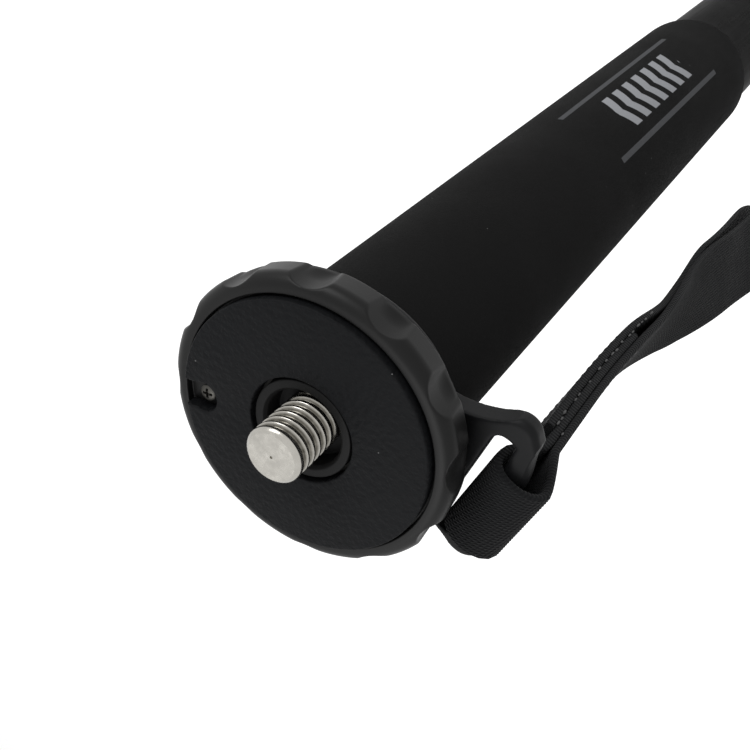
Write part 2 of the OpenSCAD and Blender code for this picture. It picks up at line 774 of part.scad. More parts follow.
camera_stud();
platform_pad();
pad_screw();
lock_wheel();
wheel_bush();
head_hub();
strap_lug();
wrist_strap();
foam_grip();
for (k = [1 : section_n]) tube(k);
for (k = [2 : section_n]) guide_bushing(k);
for (k = [1 : lock_n]) {
    lock_collar(k);
    lock_liner(k);
    lock_bolt(k);
    lock_nut(k);
    lever_pin(k);
    lock_lever(k);
}
foot_ferrule();
foot_plug();
rubber_foot();
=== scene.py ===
# %% [markdown]
# # A camera monopod
# The monopod is folded and upright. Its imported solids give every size, and this lesson dresses them: some
# solids keep their shape and get a finish, and the ones that the eye rests on are made again with their
# thread, grain, ribs and soft edges. Sizes of pieces are millimetres and become metres when a mesh is built.
# Scales of textures and sizes of the studio go by metres.

# %% Load the frame
import json
import math

import bmesh
import bpy
import numpy as np
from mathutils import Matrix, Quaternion, Vector


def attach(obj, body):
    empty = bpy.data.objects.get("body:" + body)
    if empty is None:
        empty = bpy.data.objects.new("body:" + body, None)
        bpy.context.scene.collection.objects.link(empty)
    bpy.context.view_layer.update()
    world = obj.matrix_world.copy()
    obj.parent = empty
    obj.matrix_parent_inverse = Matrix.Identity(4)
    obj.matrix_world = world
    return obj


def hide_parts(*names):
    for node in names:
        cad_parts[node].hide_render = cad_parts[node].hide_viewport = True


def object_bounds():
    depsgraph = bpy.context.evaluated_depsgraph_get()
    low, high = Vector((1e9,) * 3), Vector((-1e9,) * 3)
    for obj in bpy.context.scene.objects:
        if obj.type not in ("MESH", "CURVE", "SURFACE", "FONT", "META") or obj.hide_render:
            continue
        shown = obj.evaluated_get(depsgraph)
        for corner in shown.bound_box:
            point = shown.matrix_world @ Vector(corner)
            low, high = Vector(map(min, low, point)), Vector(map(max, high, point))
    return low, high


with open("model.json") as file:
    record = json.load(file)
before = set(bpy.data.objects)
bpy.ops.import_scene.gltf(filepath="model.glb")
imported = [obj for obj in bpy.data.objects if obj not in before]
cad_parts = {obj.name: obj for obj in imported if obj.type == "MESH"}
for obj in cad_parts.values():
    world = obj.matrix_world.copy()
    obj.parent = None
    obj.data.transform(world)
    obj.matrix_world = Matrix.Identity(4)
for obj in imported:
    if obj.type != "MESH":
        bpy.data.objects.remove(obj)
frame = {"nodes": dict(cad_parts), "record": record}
cad_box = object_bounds()
MM = 0.001
chance = np.random.default_rng(7)

# %% [markdown]
# ## Camera
# The picture was taken close to the platform, so perspective is strong and the pole runs away to the upper
# right. A camera can be set by three turns, but a spot, a point to aim at and a roll are easier to read and
# to correct.

# %% Place the camera
LENS, NEAR_CLIP = 50.93, 0.01
CAMERA_SPOT = Vector((34.32, 112.25, 108.78))
CAMERA_AIM = Vector((1.46, -0.42, -20.90))
CAMERA_ROLL = math.radians(-133.0)

camera = bpy.data.objects.new("camera", bpy.data.cameras.new("camera"))
bpy.context.scene.collection.objects.link(camera)
camera.data.lens = LENS
camera.data.clip_start = NEAR_CLIP
camera.location = CAMERA_SPOT * MM
camera.rotation_mode = "QUATERNION"
level = (CAMERA_AIM - CAMERA_SPOT).to_track_quat("-Z", "Y")
camera.rotation_quaternion = level @ Quaternion((0, 0, 1), CAMERA_ROLL)
bpy.context.scene.camera = camera
print("camera stands", round((CAMERA_AIM - CAMERA_SPOT).length), "mm from what it aims at")

# %% [markdown]
# ## Building blocks
# Most pieces here are rows of points joined into quads: a turned piece is one profile swept round the pole,
# and a band of webbing is one section carried along a path. Primitives with modifiers would also do, but rows
# of points let each vertex follow a formula, which is how a thread, a scallop or a rib gets into the mesh.

# %% Helpers for curves and points
def smooth(u):
    """Zero below nought, one above one and an even curve between."""
    u = np.clip(u, 0, 1)
    return u * u * (3 - 2 * u)


def eased(value, start, run):
    """Rises smoothly from zero to one over a run that begins at a start."""
    return smooth((value - start) / run)


def turned(x, y, angle):
    """A place in the plane after a turn about the origin."""
    return x * np.cos(angle) - y * np.sin(angle), x * np.sin(angle) + y * np.cos(angle)


def full_turn(steps):
    """Even angles once round."""
    return np.arange(steps) * 2 * math.pi / steps


def swept(r, z, angles):
    """Points at radii and heights, at angles round the pole."""
    r, z, angles = np.broadcast_arrays(r, z, angles)
    return np.stack([r * np.cos(angles), r * np.sin(angles), z], -1)


def turned_rows(profile, angles):
    """Rows of points of a profile of (radius, height) swept round the pole."""
    return swept(profile[:, :1], profile[:, 1:], angles)


def rounded(corners, steps=6):
    """Profile through corners given as (radius, height, rounding), each corner replaced by an arc."""
    out = []
    count = len(corners)
    for i, (x, z, size) in enumerate(corners):
        here = np.array([x, z])
        if size <= 0:
            out.append(here)
            continue
        before = np.array(corners[i - 1][:2]) - here
        after = np.array(corners[(i + 1) % count][:2]) - here
        a = before / np.linalg.norm(before)
        b = after / np.linalg.norm(after)
        half = math.acos(np.clip(np.dot(a, b), -1, 1)) / 2
        reach = size / math.tan(half)
        middle = here + (a + b) / np.linalg.norm(a + b) * size / math.sin(half)
        first, final = here + a * reach - middle, here + b * reach - middle
        turn = math.pi - 2 * half
        for u in np.arange(steps + 1) / steps:
            mix = (math.sin((1 - u) * turn) * first + math.sin(u * turn) * final) / math.sin(turn)
            out.append(middle + mix)
    return np.array(out)


def divided(profile, step):
    """Profile with points added so that no two are further apart than a step."""
    out = []
    for a, b in zip(profile, np.roll(profile, -1, axis=0)):
        parts = max(1, math.ceil(np.linalg.norm(b - a) / step))
        out.extend(a + (b - a) * k / parts for k in range(parts))
    return np.array(out)


# %% Helpers for pieces
SHARP = math.radians(35)


def add_piece(name, mesh, sharp=SHARP):
    """Makes an object of a mesh, with smooth shading that breaks at sharp edges."""
    mesh.shade_smooth()
    mesh.set_sharp_from_angle(angle=sharp)
    piece = bpy.data.objects.new(name, mesh)
    bpy.context.scene.collection.objects.link(piece)
    return piece


def mesh_piece(name, points, faces, sharp=SHARP):
    """Piece of points in millimetres and faces, with its faces turned outwards."""
    mesh = bpy.data.meshes.new(name)
    mesh.from_pydata((np.asarray(points).reshape(-1, 3) * MM).tolist(), [], faces)
    work = bmesh.new()
    work.from_mesh(mesh)
    bmesh.ops.recalc_face_normals(work, faces=work.faces)
    work.to_mesh(mesh)
    work.free()
    return add_piece(name, mesh, sharp)


def grid_faces(count, width, wrap_along=False, capped=False, first=0):
    """Quads between rows of points, each row a closed ring, and the caps of the two end rings."""
    r, c = np.meshgrid(np.arange(count if wrap_along else count - 1), np.arange(width), indexing="ij")
    r2, c2 = (r + 1) % count, (c + 1) % width
    quads = np.stack([r * width + c, r * width + c2, r2 * width + c2, r2 * width + c], -1) + first
    faces = quads.reshape(-1, 4).tolist()
    if capped:
        faces.append([first + i for i in range(width)])
        faces.append([first + (count - 1) * width + i for i in range(width)])
    return faces


def grid_piece(name, rows, wrap_along=False, capped=False, sharp=SHARP):
    """Piece of rows of points, each row a closed ring."""
    points = np.asarray(rows, float)
    return mesh_piece(name, points, grid_faces(*points.shape[:2], wrap_along, capped), sharp)


def dress(piece, body, material, slot, *nodes):
    """Gives a piece its finish, the body that it moves with and the nodes that it stands for; the slot is not
    used.
    """
    piece.data.materials.clear()
    piece.data.materials.append(material)
    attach(piece, body)
    if nodes:
        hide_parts(*nodes)
    print(piece.name, len(piece.data.polygons), "faces, moves with", body)


# %% [markdown]
# ## Shared surface effects
# Moulded plastic, foam, leather grain and rubber all differ by the scale and the depth of the same few
# effects. Each effect is a node group that puts out plain values: a fine grain, a cloudy variation as from
# handling, and specks of dust. The shader stays in each material.

# %% Node helpers
def wire(tree, node, sources):
    """Gives sockets of a node a link from another socket or a plain value."""
    for socket, source in sources.items():
        if isinstance(source, bpy.types.NodeSocket):
            tree.links.new(source, node.inputs[socket])
        else:
            node.inputs[socket].default_value = source


def add_node(tree, kind, sources=None, **settings):
    """Node with its settings, and what its sockets are given."""
    node = tree.nodes.new(kind)
    for key, value in settings.items():
        setattr(node, key, value)
    wire(tree, node, sources or {})
    return node


def maths(tree, operation, *values):
    """Result of a sum on sockets or plain values."""
    return add_node(tree, "ShaderNodeMath", dict(enumerate(values)), operation=operation).outputs[0]


def mixed(tree, amount, first, second):
    """Colour between two others, on the mix node's colour sockets."""
    return add_node(tree, "ShaderNodeMix", {0: amount, 6: first, 7: second}, data_type="RGBA").outputs[2]


def ranged(tree, value, low, high, start=0.0, end=1.0):
    """Value carried from the range of start to end over to the range of low to high, and held there."""
    return add_node(tree, "ShaderNodeMapRange", {"Value": value, "From Min": start, "From Max": end,
                                                 "To Min": low, "To Max": high}).outputs["Result"]


def noise(tree, point, scale, detail):
    """Cloudy value from zero to one."""
    return add_node(tree, "ShaderNodeTexNoise",
                    {"Vector": point, "Scale": scale, "Detail": detail}).outputs["Fac"]


def relief(tree, height, depth):
    """Normal of a surface with a height in it, for a depth in millimetres."""
    return add_node(tree, "ShaderNodeBump", {"Height": height, "Distance": depth * MM}).outputs["Normal"]


def surface_point(tree):
    return tree.nodes.new("ShaderNodeTexCoord").outputs["Object"]


def new_group(name, inputs, outputs):
    """Empty shader node group with named float inputs and outputs."""
    tree = bpy.data.node_groups.new(name, "ShaderNodeTree")
    for label, value in inputs.items():
        socket = tree.interface.new_socket(label, in_out="INPUT", socket_type="NodeSocketFloat")
        socket.default_value = value
    for label in outputs:
        tree.interface.new_socket(label, in_out="OUTPUT", socket_type="NodeSocketFloat")
    return tree, tree.nodes.new("NodeGroupInput").outputs, tree.nodes.new("NodeGroupOutput")


# %% Grain, clouds and dust
NOISE_SPAN = (0.3, 0.7)
FINER_GRAIN, RARE_SPECK = 2.3, 0.985


def build_grain():
    """Fine pebbled grain: cells of a given size with a finer noise over them."""
    tree, given, out = new_group("Fine grain", {"Scale": 1500.0, "Roughen": 0.5}, ["Height"])
    point = surface_point(tree)
    cells = add_node(tree, "ShaderNodeTexVoronoi", {"Vector": point, "Scale": given["Scale"]},
                     feature="SMOOTH_F1")
    finer = noise(tree, point, maths(tree, "MULTIPLY", given["Scale"], FINER_GRAIN), 3.0)
    mix = add_node(tree, "ShaderNodeMix", {0: given["Roughen"], 2: cells.outputs["Distance"], 3: finer})
    wire(tree, out, {"Height": mix.outputs[0]})
    return tree


def build_clouds():
    """Soft variation over centimetres, as from moulding and handling."""
    tree, given, out = new_group("Soft clouds", {"Scale": 60.0}, ["Amount"])
    wire(tree, out, {"Amount": ranged(tree, noise(tree, surface_point(tree), given["Scale"], 4.0), 0.0, 1.0,
                                      *NOISE_SPAN)})
    return tree


def build_dust():
    """Sparse pale specks."""
    tree, given, out = new_group("Dust specks", {"Scale": 900.0, "Size": 0.1}, ["Mask"])
    cells = add_node(tree, "ShaderNodeTexVoronoi", {"Vector": surface_point(tree), "Scale": given["Scale"]})
    near = maths(tree, "LESS_THAN", cells.outputs["Distance"], given["Size"])
    draw = add_node(tree, "ShaderNodeSeparateColor", {"Color": cells.outputs["Color"]}).outputs[0]
    wire(tree, out, {"Mask": maths(tree, "MULTIPLY", near, maths(tree, "GREATER_THAN", draw, RARE_SPECK))})
    return tree


GRAIN, CLOUDS, DUST = build_grain(), build_clouds(), build_dust()
print("node groups", [g.name for g in (GRAIN, CLOUDS, DUST)])

# %% [markdown]
# ## Moulded finishes
# The plastics, the pad and the rubber are nearly black and differ mostly by their grain and their shine. One
# recipe with other numbers makes them all, which keeps them alike where they should be. Image textures would
# show more chance marks, but they blur close to the camera.

# %% Plastics, pad, rubber and thread
DUST_TONE = 0.6
GREEN_WARMTH = 0.4


def place_group(tree, group, **values):
    """Outputs of a node group placed in a material."""
    return add_node(tree, "ShaderNodeGroup", values, node_tree=group).outputs


def new_material(name):
    material = bpy.data.materials.new(name)
    material.use_nodes = True
    tree = material.node_tree
    return material, tree, tree.nodes["Principled BSDF"]


def finish_parts(material):
    """Node tree and shader of a finish, and the socket that colours it."""
    shader = material.node_tree.nodes["Principled BSDF"]
    return material.node_tree, shader, shader.inputs["Base Color"].links[0].from_socket


def grey(value, warm=0.0):
    """Grey of a linear value, towards brown or, below zero, towards blue."""
    return (value * (1 + warm), value * (1 + GREEN_WARMTH * warm), value * (1 - warm), 1.0)


def moulded(name, tones, roughness, specular, grain, depth, roughen=0.5, dust=0.02, warm=0.0):
    """Dark finish: two tones and roughnesses mixed by clouds, a grain in relief and a little dust."""
    material, tree, shader = new_material(name)
    cloud = place_group(tree, CLOUDS)["Amount"]
    tone = mixed(tree, cloud, grey(tones[0], warm), grey(tones[1], warm))
    specks = maths(tree, "MULTIPLY", place_group(tree, DUST)["Mask"], dust)
    height = place_group(tree, GRAIN, Scale=grain, Roughen=roughen)["Height"]
    wire(tree, shader, {"Base Color": mixed(tree, specks, tone, grey(DUST_TONE)),
                        "Roughness": ranged(tree, cloud, *roughness), "Normal": relief(tree, height, depth),
                        "Specular IOR Level": specular})
    return material


PAD = moulded("grained pad", (0.0055, 0.008), (0.5, 0.6), 0.07, 1150.0, 0.32, 0.35, dust=0.3, warm=-0.08)
WHEEL = moulded("satin wheel", (0.0070, 0.0092), (0.36, 0.44), 0.16, 5000.0, 0.01, dust=0.05)
HUB = moulded("hub plastic", (0.0075, 0.0095), (0.45, 0.55), 0.10, 4000.0, 0.02)
LUG = moulded("lug plastic", (0.0060, 0.0078), (0.42, 0.52), 0.12, 4500.0, 0.02, warm=-0.05)
LOCK = moulded("lock plastic", (0.010, 0.014), (0.42, 0.52), 0.25, 2200.0, 0.04, dust=0.04)
GUIDE = moulded("guide plastic", (0.05, 0.07), (0.45, 0.55), 0.4, 3000.0, 0.02)
RUBBER = moulded("foot rubber", (0.009, 0.013), (0.75, 0.88), 0.12, 1800.0, 0.05, dust=0.2)
# pale thread: partly its own colour, partly a painted glint along the stitching
THREAD_WITH_GLINT = moulded("sewing thread with painted glint", (0.07, 0.14), (0.6, 0.75), 0.2, 6000.0, 0.03)
print("moulded finishes", [m.name for m in (PAD, WHEEL, HUB, LUG, LOCK, GUIDE, RUBBER, THREAD_WITH_GLINT)])

# %% [markdown]
# ## Metal finishes
# Turned and drawn metal has fine lines, which spread its highlights to one side. An anisotropic shader would
# do that too, but lines in relief also break up the edges of the highlights. The camera screw is nickel with
# a brown painted shade in its grooves, so its finish goes by the distance from the screw's axis.

# %% Steel, oxide and tube
def metal(name, tones, roughness, lines, warm=0.0, depth=0.01, edge=1.0, clouds=140.0):
    """Metal with fine lines round the pole, from the lathe or from drawing the tube."""
    material, tree, shader = new_material(name)
    stretch = add_node(tree, "ShaderNodeMapping", {"Vector": surface_point(tree), "Scale": lines})
    streaks = noise(tree, stretch.outputs[0], 1.0, 5.0)
    cloud = place_group(tree, CLOUDS, Scale=clouds)["Amount"]
    wire(tree, shader, {"Base Color": mixed(tree, cloud, grey(tones[0], warm), grey(tones[1], warm)),
                        "Roughness": ranged(tree, streaks, *roughness, *NOISE_SPAN),
                        "Normal": relief(tree, streaks, depth), "Metallic": 1.0,
                        "Specular Tint": grey(edge)})
    return material


STEEL = metal("bright steel", (0.28, 0.36), (0.25, 0.4), (1200.0, 1200.0, 1200.0))
# painted shade: the notch screw's steel is darkened for the shadow that it lies in
SHADED_SCREW_STEEL = metal("screw steel darkened as painted shade", (0.05, 0.09), (0.4, 0.55), (1500.0, 1500.0, 1500.0), warm=0.06, edge=0.4)
OXIDE = metal("black oxide", (0.02, 0.03), (0.35, 0.5), (900.0, 900.0, 4000.0), warm=0.03)
TUBE = metal("anodised tube", (0.048, 0.056), (0.36, 0.48), (2500.0, 2500.0, 40.0), depth=0.004, edge=0.3)


# %% Nickel with painted shade in the grooves
def build_groove_shade_mask():
    """One on the crests of the screw's thread and on its tip, zero down in the grooves, where the painted
    shade goes.
    """
    tree, given, out = new_group("Thread crests for painted groove shade", {"Root": 0.0044, "Crest": 0.00475, "Tip": 0.0068}, ["Mask"])
    place = add_node(tree, "ShaderNodeSeparateXYZ", {"Vector": surface_point(tree)}).outputs
    flat = add_node(tree, "ShaderNodeCombineXYZ", {"X": place["X"], "Y": place["Y"]}).outputs[0]
    r = add_node(tree, "ShaderNodeVectorMath", {0: flat}, operation="LENGTH").outputs["Value"]
    crest = ranged(tree, r, 0.0, 1.0, given["Root"], given["Crest"])
    tip = maths(tree, "GREATER_THAN", place["Z"], given["Tip"])
    wire(tree, out, {"Mask": maths(tree, "MAXIMUM", crest, tip)})
    return tree


def nickel_with_groove_shade():
    """Bright nickel plate with a dark brown painted shade in the grooves of the thread."""
    material = metal("nickel", (0.40, 0.46), (0.16, 0.32), (900.0, 900.0, 5000.0), warm=0.06, clouds=500.0)
    tree, shader, bright = finish_parts(material)
    cloud = place_group(tree, CLOUDS, Scale=900.0)["Amount"]
    # painted shade: dark brown colour in the thread's grooves, where shade falls
    groove_shade = mixed(tree, cloud, grey(0.06, 0.14), grey(0.17, 0.10))
    wire(tree, shader, {"Base Color": mixed(tree, place_group(tree, build_groove_shade_mask())["Mask"], groove_shade, bright)})
    return material


NICKEL_WITH_GROOVE_SHADE = nickel_with_groove_shade()
print("metals", [m.name for m in (NICKEL_WITH_GROOVE_SHADE, STEEL, SHADED_SCREW_STEEL, OXIDE, TUBE)])

# %% [markdown]
# ## Wrist strap
# The strap is one length of ribbed nylon webbing. It starts at the top of the sewn neck, runs down it, round
# the hand loop, up the neck again, over the bar of the lug and down between the layers. Cloth simulation
# would lose the flat section, so the band is carried along a path like that of its solid, with ribs along its
# length in the mesh. A place on it is given by an offset n through the strap, a drop d below the bar and a
# place w across the width. The neck leaves the bar edge-on and twists towards the loop.

# %% Place of the strap
STRAP_W, STRAP_T, LAYER_GAP = 17.0, 1.5, 0.02
LAYER = STRAP_T + LAYER_GAP
BAR_X, BAR_Z, BAR_TURN = 29.2, -12.6, math.radians(-6)
STRAP_SHIFT, STRAP_OUT = -0.7, 1.9
GATHER_L, NECK_L, LOOP_L, LOOP_W, LOOP_POWER = 9.0, 51.0, 182.0, 36.0, 6
NECK_END, NECK_N = GATHER_L + NECK_L, LAYER / 2
STRAP_LEAN, LEAN_START, LEAN_RUN = 16.0, 25.0, 165.0
NECK_TWIST, NECK_TWIST_START, NECK_TWIST_RUN = math.radians(41), 58.0, 44.0
LOOP_TWIST, LOOP_TWIST_START, LOOP_TWIST_RUN = math.radians(75), 104.0, 90.0


def strap_point(n, d, w):
    """Point at an offset through the strap, a drop below the bar and a place across the width."""
    turn = (BAR_TURN + NECK_TWIST * eased(d, NECK_TWIST_START, NECK_TWIST_RUN)
            + LOOP_TWIST * eased(d, LOOP_TWIST_START, LOOP_TWIST_RUN))
    x, y = turned(n, w + STRAP_SHIFT, turn)
    middle = BAR_X + STRAP_OUT * eased(d, 0, GATHER_L) + STRAP_LEAN * eased(d, LEAN_START, LEAN_RUN)
    return np.stack(np.broadcast_arrays(middle + x, y, BAR_Z - d), -1)


print("strap hangs", GATHER_L + NECK_L + LOOP_L, "mm below the bar")

# %% Path of the webbing
THIRD_TOP, INNER_END, CLOSE_L = 13.0, 50.0, 20.0
SLIP, SLIP_START, SLIP_RUN, SLIP_BACK, SLIP_BACK_RUN = 2.0, NECK_END - 4, 20.0, 78.0, 24.0
WRAP_N, WRAP_D, WRAP_SHIFT, WRAP_LAG = 4.5, 3.5, 0.9, 0.4
NECK_POINTS, LOOP_POINTS, GATHER_POINTS, WRAP_POINTS = 60, 400, 20, 40
PATH_STEP = 1.5


def drop_shape(t):
    """Width of a hanging loop, which stays closed for a while at its top."""
    return np.sin(t) * np.sin(t / 2) ** LOOP_POWER


def loop_path():
    """Offsets, drops and slips to one side, from the cut end down the neck and round the hand loop."""
    widest = 2 * math.asin(math.sqrt((LOOP_POWER + 1) / (LOOP_POWER + 2)))
    turn = np.linspace(0, 2 * math.pi, LOOP_POINTS)[1:]
    loop_n = -LOOP_W / 2 * drop_shape(turn) / drop_shape(widest) - NECK_N * np.cos(turn / 2)
    n = np.concatenate([np.full(NECK_POINTS, -NECK_N), loop_n])
    d = np.concatenate([np.linspace(THIRD_TOP, NECK_END, NECK_POINTS),
                        NECK_END + LOOP_L * (1 - np.cos(turn)) / 2])
    descent = np.arange(len(n)) < NECK_POINTS + LOOP_POINTS // 2
    n -= LAYER * descent * (1 - eased(d, INNER_END, CLOSE_L))
    slip = -SLIP * descent * eased(d, SLIP_START, SLIP_RUN) * (1 - eased(d, SLIP_BACK, SLIP_BACK_RUN))
    return n, d, slip


def bar_path():
    """Offsets and drops from the loop up the neck, over the bar and down between the layers."""
    up = np.linspace(NECK_END, GATHER_L, NECK_POINTS // 2)[1:]
    inside = np.linspace(GATHER_L, INNER_END, NECK_POINTS // 2)[1:]
    u = np.linspace(1, 0, GATHER_POINTS)[1:]
    back = u[::-1]
    right = NECK_N + (WRAP_SHIFT + WRAP_N - NECK_N) * (1 - (u + smooth(u)) / 2)
    left = -NECK_N - (WRAP_N - WRAP_SHIFT - NECK_N) * (1 - smooth(back * (1 + WRAP_LAG) - WRAP_LAG))
    over = np.linspace(0, math.pi, WRAP_POINTS)[1:-1]
    n = np.concatenate([np.full(len(up), NECK_N), right, WRAP_SHIFT + WRAP_N * np.cos(over), left,
                        np.full(len(inside), -NECK_N)])
    d = np.concatenate([up, GATHER_L * u, -WRAP_D * np.sin(over), GATHER_L * back, inside])
    return n, d


def webbing_path():
    """Offsets, drops, slips and runs of the band's middle line from cut end to cut end, evenly spaced."""
    loop_n, loop_d, loop_slip = loop_path()
    bar_n, bar_d = bar_path()
    n, d = np.concatenate([loop_n, bar_n]), np.concatenate([loop_d, bar_d])
    slip = np.concatenate([loop_slip, np.zeros(len(bar_d))])
    run = np.concatenate([[0], np.cumsum(np.hypot(np.diff(n), np.diff(d)))])
    even = np.linspace(0, run[-1], round(run[-1] / PATH_STEP) + 1)
    return np.interp(even, run, n), np.interp(even, run, d), np.interp(even, run, slip), even


print("path of", len(webbing_path()[0]), "points")

# %% Webbing with its ribs
RIBS, RIB_DEPTH, RIB_SAMPLES = 26, 0.14, 4
SELVEDGE_W, SELVEDGE_THIN = 0.6, 0.35
EDGE_WANDER, EDGE_WAVES = 0.16, (((8.3, 0), (3.7, 1)), ((7.1, 2), (3.1, 0)))
WEBBING_SHARP = math.radians(60)


def webbing_section():
    """Heights and places across of the band's section, once round, thinner at its selvedges."""
    w = np.linspace(-STRAP_W / 2, STRAP_W / 2, RIBS * RIB_SAMPLES + 1)
    rib = np.abs(np.sin(math.pi * RIBS * (w / STRAP_W + 0.5)))
    outer = ((np.abs(w) - STRAP_W / 2 + SELVEDGE_W) / SELVEDGE_W).clip(0)
    edge = np.sqrt(np.clip(1 - outer ** 2, 0, 1))
    h = (STRAP_T / 2 - RIB_DEPTH * (1 - rib)) * (SELVEDGE_THIN + (1 - SELVEDGE_THIN) * edge)
    return np.concatenate([h, -h[::-1]]), np.concatenate([w, w[::-1]])


def build_webbing():
    """The band, with its places across and along kept as coordinates for the weave."""
    n, d, slip, run = webbing_path()
    along_n, along_d = np.gradient(n), np.gradient(d)
    size = np.hypot(along_n, along_d)
    out_n, out_d = along_d / size, -along_n / size
    h, w = webbing_section()
    waves = [sum(np.sin(run / length + start) for length, start in edge) for edge in EDGE_WAVES]
    uneven = EDGE_WANDER * np.stack(waves, -1) * (1 - eased(d[:, None], INNER_END, CLOSE_L))
    side = np.where(w > 0, uneven[:, :1], uneven[:, 1:]) * np.abs(w) / STRAP_W + slip[:, None]
    rows = strap_point(n[:, None] + out_n[:, None] * h, d[:, None] + out_d[:, None] * h, w[None] + side)
    piece = grid_piece("webbing_strap", rows, capped=True, sharp=WEBBING_SHARP)
    layer = piece.data.uv_layers.new(name="weave")
    corners = np.empty(len(piece.data.loops), int)
    piece.data.loops.foreach_get("vertex_index", corners)
    place = np.stack([np.tile(w, len(n))[corners], np.repeat(run, len(w))[corners]], -1) * MM
    layer.data.foreach_set("uv", place.astype(np.float32).ravel())
    return piece, float(run[-1])


strap, strap_length = build_webbing()
print("webbing", round(strap_length), "mm long")

# %% Weave of the webbing
PICK_SCALE, PICK_LIGHT, PICK_DEPTH = (1200.0, 900.0, 1.0), (0.7, 1.15), 0.1


def webbing_finish():
    """Nylon: short slanted picks across each rib, a soft sheen and a cloudy tone."""
    material, tree, shader = new_material("nylon webbing")
    place = add_node(tree, "ShaderNodeUVMap", uv_map="weave").outputs["UV"]
    size = add_node(tree, "ShaderNodeMapping", {"Vector": place, "Scale": PICK_SCALE}).outputs[0]
    picks = add_node(tree, "ShaderNodeTexWave", {"Vector": size, "Scale": 1.0, "Distortion": 0.6,
                                                 "Detail": 1.0}, bands_direction="DIAGONAL").outputs["Fac"]
    cloud = place_group(tree, CLOUDS, Scale=90.0)["Amount"]
    tone = mixed(tree, cloud, grey(0.008, -0.05), grey(0.012, -0.05))
    colour = add_node(tree, "ShaderNodeVectorMath", {0: tone, "Scale": ranged(tree, picks, *PICK_LIGHT)},
                      operation="SCALE").outputs[0]
    wire(tree, shader, {"Base Color": colour, "Normal": relief(tree, picks, PICK_DEPTH),
                        "Roughness": ranged(tree, cloud, 0.7, 0.85), "Specular IOR Level": 0.1,
                        "Sheen Weight": 0.04})
    return material


WEBBING = webbing_finish()
dress(strap, "strap", WEBBING, "webbing", "wrist_strap")

# %% [markdown]
# Two rows of stitches hold the neck's layers together, and ends of thread stick out between the layers. Each
# one is a small oval of thread; a texture of stitches would lie flat on the ribs. The thread is pale grey,
# partly its own colour and partly a painted glint of the stitching.

# %% Stitches of the neck
STITCH_L, STITCH_R, STITCH_PITCH, STITCH_SUNK = 1.9, 0.24, 2.7, 0.12
STITCH_ROWS, STITCH_MARGIN = (-6.3, 6.3), 2.0
OUTER_FACE = -NECK_N - LAYER - STRAP_T / 2 + STITCH_SUNK
INNER_FACE = NECK_N + STRAP_T / 2 - STITCH_SUNK
SPECK_R, SPECK_START, SPECK_PITCH, SPECK_SKIPPED = 0.22, GATHER_L + 4, 1.6, 0.3
SPECK_SPREAD, SPECK_EDGE, SPECK_L, SPECK_SIZE = 0.15, (-0.15, 0.05), (0.3, 0.75), (0.7, 1.1)
BEAD_SIDES, BEAD_RINGS, BEAD_REACH, BEAD_SHARP = 8, 6, 1.45, math.radians(80)
NOT_ALONG = (0.3, 0.9, 0.2)


def bead(middle, along, size_along, size_across):
    """Small oval of thread as rows of points, long in one direction."""
    along = along / np.linalg.norm(along)
    side = np.cross(along, NOT_ALONG)
    side = side / np.linalg.norm(side)
    up = np.cross(along, side)
    angles = full_turn(BEAD_SIDES)[:, None]
    ring = size_across * (side * np.cos(angles) + up * np.sin(angles))
    return [middle + along * math.sin(lat) * size_along + math.cos(lat) * ring
            for lat in np.linspace(-BEAD_REACH, BEAD_REACH, BEAD_RINGS)]


def stitch_beads():
    """Two rows of stitches on both faces of the neck."""
    beads = []
    for face in (OUTER_FACE, INNER_FACE):
        for w in STITCH_ROWS:
            for d in np.arange(THIRD_TOP + STITCH_MARGIN, INNER_END - STITCH_MARGIN, STITCH_PITCH):
                here, there = strap_point(face, d, w), strap_point(face, d + STITCH_L, w)
                beads.append(bead((here + there) / 2, there - here, STITCH_L / 2, STITCH_R))
    return beads


def thread_ends_with_glint():
    """Ends of pale thread between the layers at the neck's front edge, partly a painted glint of the
    stitching.
    """
    beads = []
    for d in np.arange(SPECK_START, NECK_END, SPECK_PITCH):
        if chance.random() < SPECK_SKIPPED:
            continue
        n = -LAYER * (d > THIRD_TOP) + chance.normal(0, SPECK_SPREAD)
        w = STRAP_W / 2 + chance.uniform(*SPECK_EDGE)
        here, there = strap_point(n, d, w), strap_point(n, d + 1, w)
        length = chance.uniform(*SPECK_L)
        beads.append(bead(here, there - here, length, SPECK_R * chance.uniform(*SPECK_SIZE)))
    return beads


beads = stitch_beads() + thread_ends_with_glint()
bead_size = BEAD_RINGS * BEAD_SIDES
bead_faces = [face for k in range(len(beads))
              for face in grid_faces(BEAD_RINGS, BEAD_SIDES, capped=True, first=k * bead_size)]
stitches = mesh_piece("neck_stitches", beads, bead_faces, BEAD_SHARP)
dress(stitches, "strap", THREAD_WITH_GLINT, "webbing")
print("stitches and ends", len(beads))

# %% [markdown]
# ## Foam grip
# The grip is a sleeve of closed-cell foam, cut straight at the top and rounded at its lower end. A plain tube
# would do from afar. Here its skin is pressed in a little at random, so that the long highlight isn't
# ruler-straight. The grip has a light print near its lower end; slanted bars between two rails stand in for
# it, as a mask in the finish.

# %% Print on the foam
GRIP_TOP, GRIP_BOTTOM = -14.6, -211.6
GRIP_R, GRIP_BORE, GRIP_ROUND, GRIP_CUT_ROUND = 17.3, 15.55, 1.4, 0.3
PRINT_AZIMUTH, PRINT_Z, PRINT_L, PRINT_W, RAIL_W = math.radians(88), -146.0, 78.0, 17.0, 1.3
STRIPES_L, STRIPES_W, STRIPE_PITCH, STRIPE_SHARE, STRIPE_SLANT = 49.0, 10.0, 7.0, 0.55, 0.55
RAIL_TONE, STRIPE_TONE = 0.09, 0.36


def within(tree, value, half):
    """One where a value lies within half a width of zero."""
    return maths(tree, "LESS_THAN", maths(tree, "ABSOLUTE", value), half * MM)


